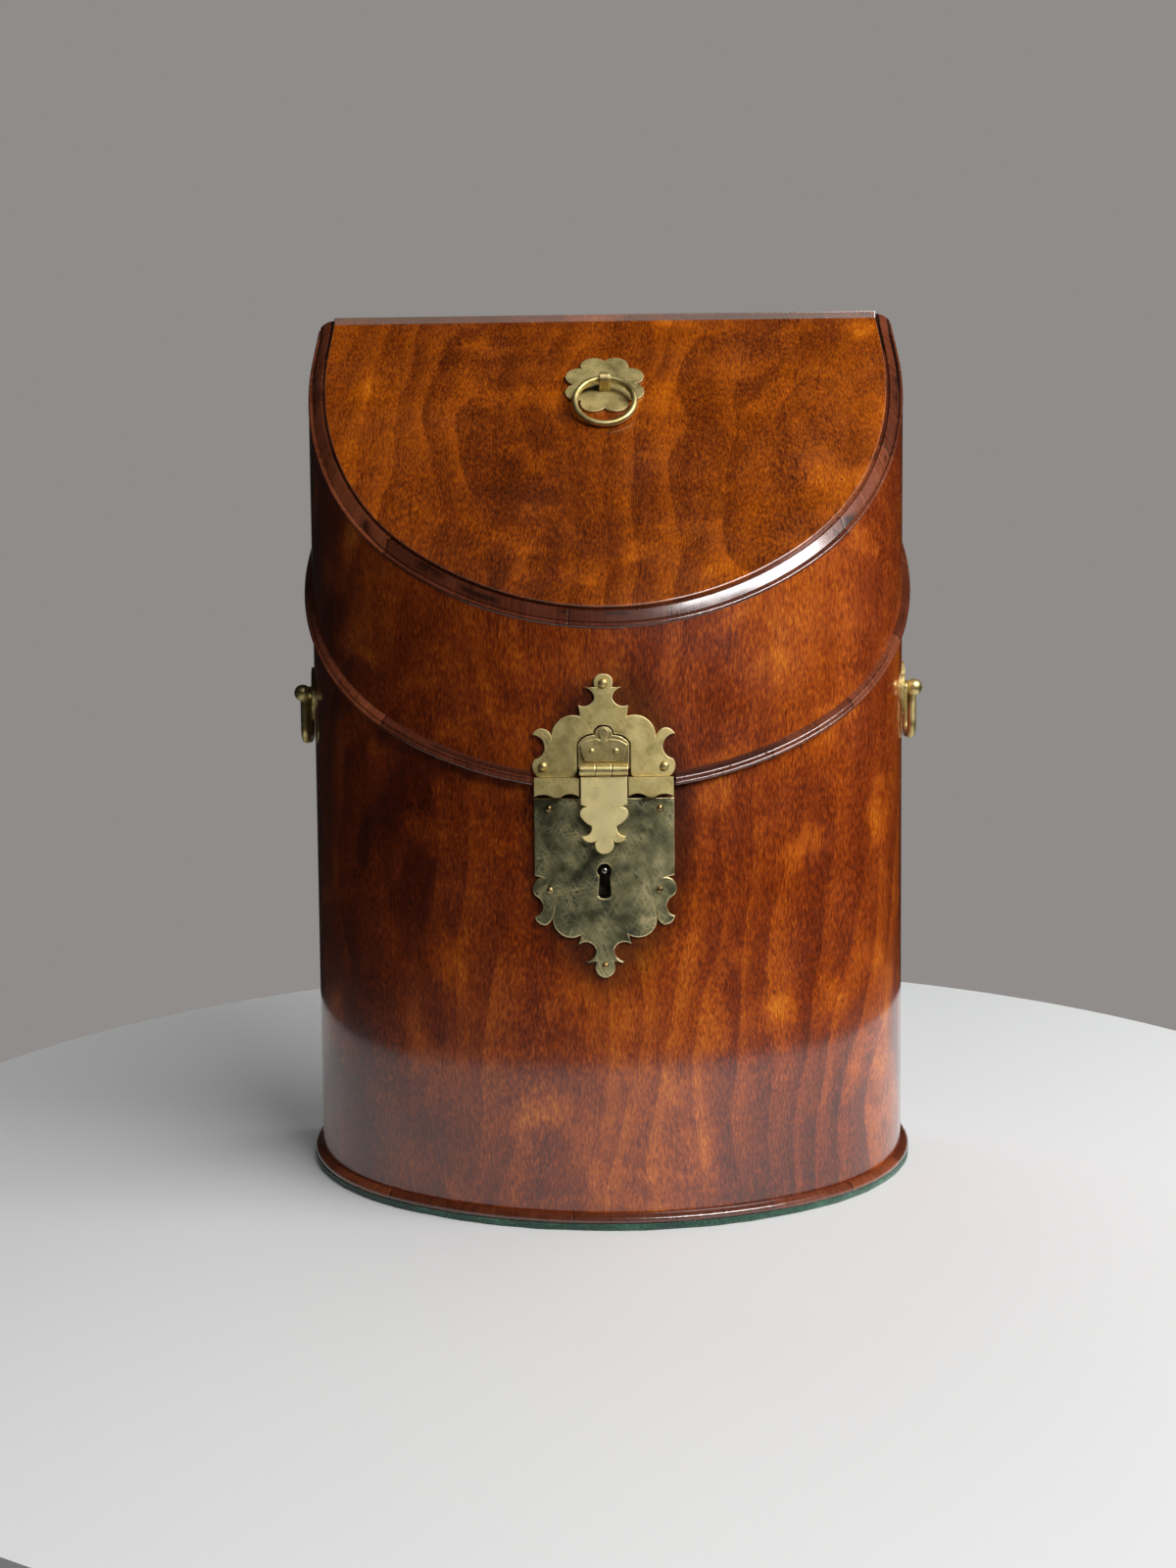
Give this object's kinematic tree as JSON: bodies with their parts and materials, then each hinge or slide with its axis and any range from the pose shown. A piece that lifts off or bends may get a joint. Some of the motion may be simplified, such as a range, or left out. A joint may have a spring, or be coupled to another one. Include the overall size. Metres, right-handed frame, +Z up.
{
  "type": "cutlery box",
  "caption": "Bow-fronted wooden cutlery box with a hinged sloping lid, stepped slotted interior, brass hasp lock, ring pull and drop handles.",
  "frame": {"origin": "on the floor plane, under the middle of the body's width and depth (base bead and fittings left out)", "axes": "+Z up, -Y out of the bowed front, +X to the right of someone facing the front"},
  "size_m": [0.245, 0.1183, 0.3309],
  "materials": {
    "mahogany": "polished mahogany veneer",
    "figured_mahogany": "polished figured mahogany veneer",
    "cross_grain": "polished cross-grained mahogany",
    "interior_wood": "waxed mahogany",
    "baize": "green wool baize",
    "plate_brass": "aged, scratched",
    "worn_brass": "worn bright",
    "steel": "bright"
  },
  "bodies": {
    "carcase": {"bow_wall": "mahogany", "back_board": "mahogany", "bottom_board": "interior_wood", "base_bead": "cross_grain", "baize_foot": "baize", "tier_back": "interior_wood", "tier_middle": "interior_wood", "tier_front": "interior_wood", "riser_upper": "interior_wood", "riser_lower": "interior_wood", "tier_ledges": "interior_wood", "lock_plate": "plate_brass", "lock_plate_pins": "worn_brass", "lock_case": "steel", "key_post": "steel", "bolt_spring": "steel", "lower_hinge_leaves": "worn_brass", "hinge_pins": "steel", "handle_plate_left": "plate_brass", "handle_plate_right": "plate_brass", "handle_studs_left": "worn_brass", "handle_studs_right": "worn_brass"},
    "lid": {"lid_wall": "mahogany", "lid_back_board": "mahogany", "lid_panel": "figured_mahogany", "lid_moulding": "cross_grain", "rim_bead": "cross_grain", "upper_plate": "plate_brass", "upper_plate_pins": "worn_brass", "rim_straps": "plate_brass", "hasp_leaf": "worn_brass", "hasp_leaf_rivets": "worn_brass", "hasp_pin": "steel", "upper_hinge_leaves": "worn_brass", "ring_rosette": "plate_brass", "ring_staple": "worn_brass"},
    "hasp": {"hasp_flap": "worn_brass", "hasp_staple": "worn_brass"},
    "ring": {"pull_ring": "worn_brass"},
    "left_bail": {"handle_bail_left": "worn_brass"},
    "right_bail": {"handle_bail_right": "worn_brass"},
    "bolt": {"lock_bolt": "worn_brass"}
  },
  "joints": [
    {"name": "lid_hinge", "type": "hinge", "parent": "carcase", "child": "lid", "pos_m": [0, 0.0567, 0.247], "axis": [-1, 0, 0], "range_deg": [0, 100]},
    {"name": "hasp_hinge", "type": "hinge", "parent": "lid", "child": "hasp", "pos_m": [-0.0014, -0.0573, 0.15297], "axis": [-1, 0, 0], "range_deg": [0, 150]},
    {"name": "ring_swing", "type": "hinge", "parent": "lid", "child": "ring", "pos_m": [0, 0.01886, 0.29714], "axis": [-1, 0, 0], "range_deg": [0, 150]},
    {"name": "left_bail_swing", "type": "hinge", "parent": "carcase", "child": "left_bail", "pos_m": [-0.11797, 0.03365, 0.1802], "axis": [-0.0958, 0.9954, 0], "range_deg": [0, 110]},
    {"name": "right_bail_swing", "type": "hinge", "parent": "carcase", "child": "right_bail", "pos_m": [0.11797, 0.03365, 0.1802], "axis": [-0.0958, -0.9954, 0], "range_deg": [0, 110]},
    {"name": "bolt_slide", "type": "slide", "parent": "carcase", "child": "bolt", "axis": [1, 0, 0], "range_m": [0, 0.005]}
  ]
}
